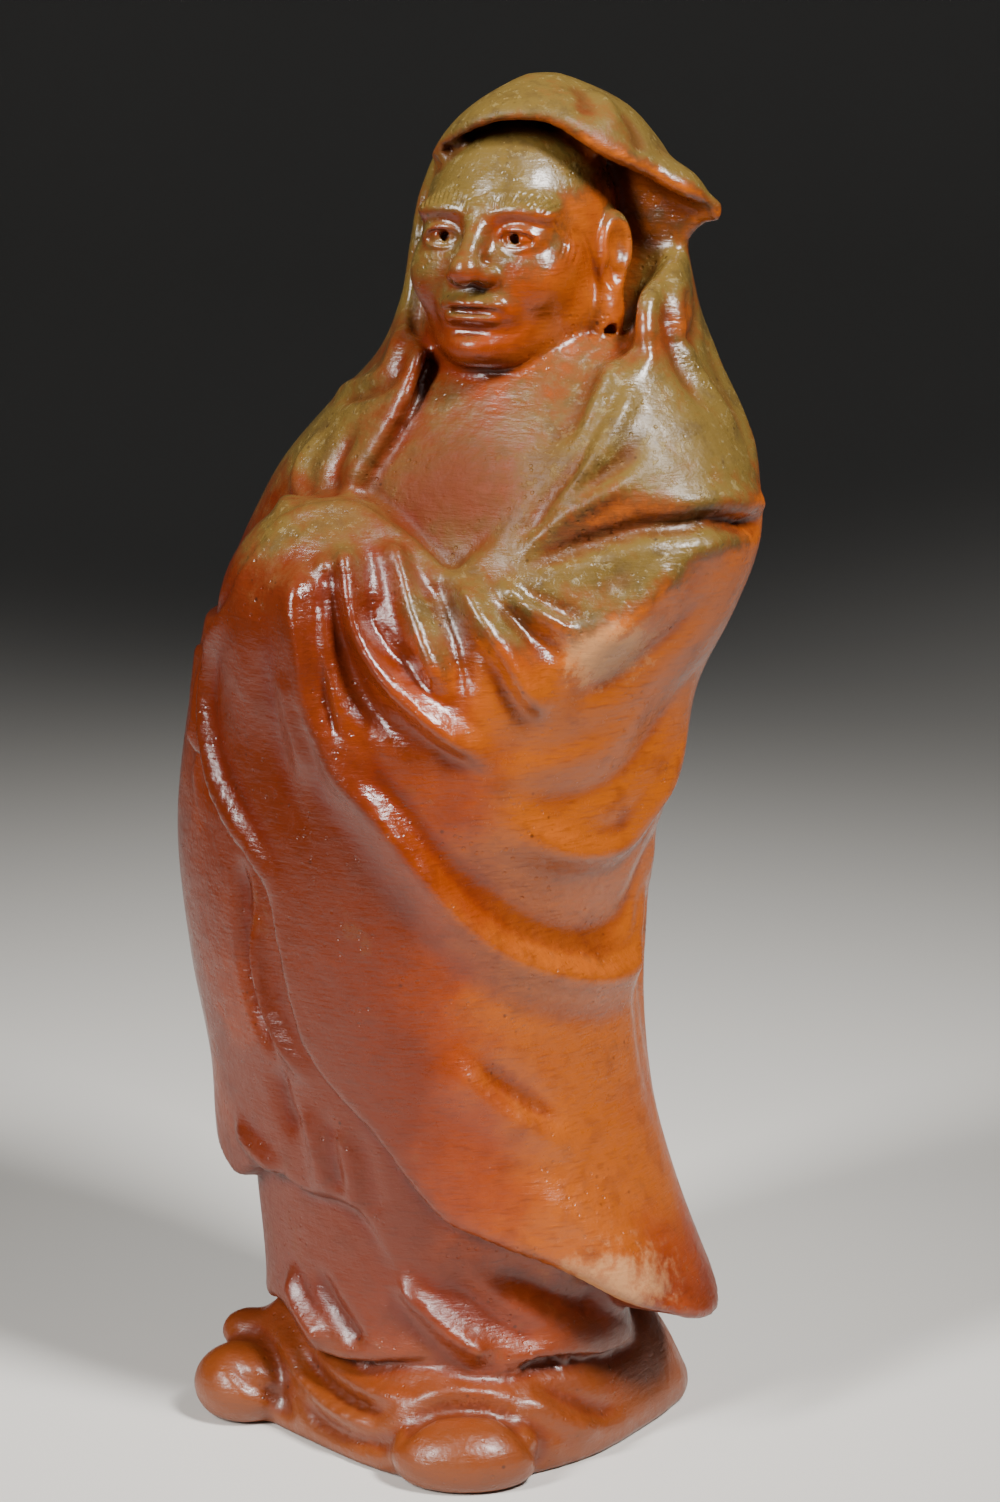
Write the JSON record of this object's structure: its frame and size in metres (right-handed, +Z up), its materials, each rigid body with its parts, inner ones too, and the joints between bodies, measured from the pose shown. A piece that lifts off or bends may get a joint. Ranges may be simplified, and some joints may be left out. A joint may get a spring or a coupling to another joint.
{
  "type": "bodhidharma statue",
  "caption": "Standing figure of a hooded monk wrapped in a draped robe with covered hands, on a low rock base; one piece of wood-fired stoneware for a shelf or alcove.",
  "frame": {"origin": "on the flat underside of the base, under the middle of the rock", "axes": "+Z up the figure, the figure faces -Y, +X to its own left"},
  "size_m": [0.152, 0.1132, 0.32],
  "materials": {
    "stoneware": "satin to glossy natural ash glaze over iron-rich clay"
  },
  "bodies": {
    "root": {"statue": "stoneware"}
  },
  "joints": []
}
